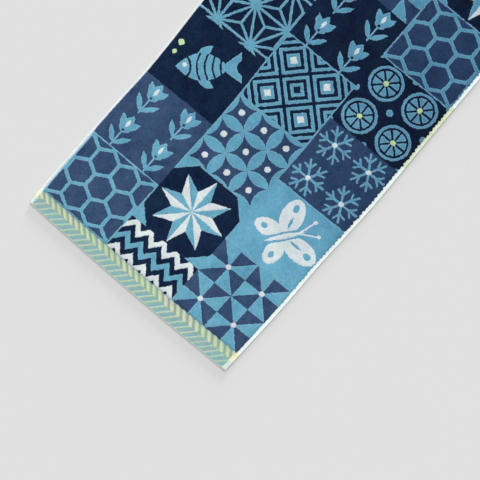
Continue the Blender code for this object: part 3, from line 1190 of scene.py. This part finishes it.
# A closed section, the selvedges thick and the ground thin between them, carried along the cloth.
def groundCloth():
    rows, wide = ground["rows"], cloth["width"]
    left, right = cloth["leftSelvedge"], cloth["rightSelvedge"]
    thick, thin = cloth["selvedgeThickness"], cloth["groundThickness"]
    leftPart = [(place, share * thick) for place, share in ground["leftSection"]]
    rightPart = [(wide - place, share * thick) for place, share in ground["rightSection"]]
    leftFoot = (leftPart[-1][0] + ground["slope"], thin)
    rightFoot = (rightPart[0][0] - ground["slope"], thin)
    face = np.array(leftPart + [leftFoot, rightFoot] + rightPart)
    faceCount = len(face)
    backX = np.linspace(wide - ground["backInset"], ground["backInset"], ground["backColumns"] + 1)
    sectionX = np.concatenate([face[:, 0], backX])
    count = len(sectionX)
    x = np.tile(sectionX, (rows + 1, 1))
    y = np.tile(np.linspace(0, fieldLength, rows + 1)[:, None], (1, count))
    z = np.zeros((rows + 1, count))
    x[:, 0] += dice.normal(0, ground["edgeJitter"], rows + 1)
    x[:, faceCount - 1] += dice.normal(0, ground["edgeJitter"], rows + 1)
    z[:, :faceCount] = face[:, 1] + dice.normal(0, ground["heightNoise"], (rows + 1, faceCount))
    z[:, faceCount:] = np.abs(dice.normal(0, ground["backLoop"], (rows + 1, count - faceCount)))
    points = laidPoints(x - wide / 2, y - fieldLength / 2, z)

    row = np.arange(rows)[:, None] * count
    place = np.arange(count)[None, :]
    after = (place + 1) % count
    shell = np.stack([row + place, row + after, row + count + after, row + count + place], axis=-1)
    nearCap = place[:, ::-1]
    farCap = rows * count + place
    groups = [shell.reshape(-1, 4), nearCap, farCap]
    piece = meshPiece("towelCloth", points, groups, wovenCotton, smooth=True)

    # Below, the yarns of the chart change places. Above, the selvedges are white or tinted, with ticks.
    faceX = np.tile(sectionX, (rows, 1))
    faceY = np.tile((np.arange(rows) + 0.5)[:, None] * fieldLength / rows, (1, count))
    yarn = wovenChart(np.clip(faceX - left, 0, fieldWidth), faceY)
    ticks = dice.normal(size=(2, int((cloth["length"] + wide) / ground["tickPitch"])))
    tickPlace = (faceY + ground["tickSlant"] * (wide - faceX)) / ground["tickPitch"]
    tick, tickTint = [np.interp(tickPlace, np.arange(len(values)), values) for values in ticks]
    paleShare = np.clip(ground["tintMiddle"] + ground["tintSpread"] * tickTint, 0, 1)
    tint = mixed(ground["tint"], ground["tintPale"], paleShare)
    tinted = (faceY > ground["tintFrom"]) & (faceY < ground["tintTo"])
    rightSide = np.where(tinted[..., None], tint, ground["rightWhite"])
    # The left selvedge takes the white darkened by painted shade
    selvedge = np.where((faceX > wide / 2)[..., None], rightSide, ground["leftWhiteShaded"])
    noise = ground["tickNoise"] * tick + ground["speckNoise"] * dice.normal(size=faceX.shape)
    selvedge = mottled(selvedge, noise[..., None])
    isSelvedge = (place < faceCount) | (faceX < left) | (faceX > wide - right)
    colours = np.where(isSelvedge[..., None], selvedge, yarnColours[yarnBehind[yarn]])
    capColours = np.tile(ground["leftWhiteShaded"], (2 * count, 1))
    cornerColours = [np.repeat(colours.reshape(-1, 3), 4, axis=0), capColours]
    setColours(piece, "CORNER", np.concatenate(cornerColours))
    return piece


towelCloth = groundCloth()
print("ground cloth and selvedges made")


floorLook = {"size": 60.0, "drop": 0.3 * mm, "albedo": 0.622, "roughness": 0.9}


# A wide square just below the towel.
def makeFloor():
    half, level = floorLook["size"] / 2, -floorLook["drop"]
    material, shader = bareMaterial("paleFloor", floorLook["roughness"], 0.0)
    shader.inputs["Base Color"].default_value = (*[floorLook["albedo"]] * 3, 1)
    points = [(-half, -half, level), (half, -half, level), (half, half, level), (-half, half, level)]
    return meshPiece("floor", points, [[[0, 1, 2, 3]]], material)


floor = makeFloor()


# The camera stands off beyond the near right of the towel, high up, with a long lens.
view = {
    "target": (0.070119, -0.254979, 0),
    "distance": 9.0,
    "elevation": 78.68,
    "heading": -50.13,
    "lens": 518.0,
    "sensor": 36,
    "farLimit": 100,
}


# The unit vector that rises by an elevation from the floor, in a heading counted from +X, in radians.
def direction(elevation, heading):
    level = math.cos(elevation)
    return Vector((level * math.cos(heading), level * math.sin(heading), math.sin(elevation)))


# Puts a camera or lamp into the scene, looking back along a direction.
def addAimed(name, data, back):
    thing = bpy.data.objects.new(name, data)
    thing.rotation_mode = "QUATERNION"
    thing.rotation_quaternion = (-back).to_track_quat("-Z", "Y")
    bpy.context.scene.collection.objects.link(thing)
    return thing


cameraBack = direction(math.radians(view["elevation"]), math.radians(view["heading"]))
camera = addAimed("camera", bpy.data.cameras.new("camera"), cameraBack)
camera.location = Vector(view["target"]) + cameraBack * view["distance"]
camera.data.lens = view["lens"]
camera.data.sensor_width = view["sensor"]
camera.data.clip_end = view["farLimit"]
bpy.context.scene.camera = camera


# Elevation, turn and width in degrees
lights = {
    "sky": 0.71,
    "suns": [
        {"name": "keyLight", "elevation": 42, "turn": 6, "width": 40, "strength": 1.65},
        {"name": "lowLight", "elevation": 5, "turn": 20, "width": 9, "strength": 5.0},
    ],
}


# Wide far lights from beyond the top of the picture, and an even pale sky. The low one only grazes the
# floor, so that the thin cloth casts a soft shadow.
def makeLights():
    for row in lights["suns"]:
        heading = math.atan2(-cameraBack.y, -cameraBack.x) - math.radians(row["turn"])
        toLight = direction(math.radians(row["elevation"]), heading)
        lamp = addAimed(row["name"], bpy.data.lights.new(row["name"], "SUN"), toLight)
        lamp.data.angle = math.radians(row["width"])
        lamp.data.energy = row["strength"]
    world = bpy.data.worlds.new("studio")
    bpy.context.scene.world = world
    world.use_nodes = True
    background = world.node_tree.nodes["Background"]
    background.inputs["Color"].default_value = (1, 1, 1, 1)
    background.inputs["Strength"].default_value = lights["sky"]


makeLights()
bpy.context.scene.view_settings.view_transform = "Standard"

everyPiece = [towelCloth] + strips + hems
for piece in everyPiece:
    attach(piece, "root")
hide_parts("towel")
facesOf = [polygon for piece in everyPiece for polygon in piece.data.polygons]
print("triangles:", sum(len(polygon.vertices) - 2 for polygon in facesOf))
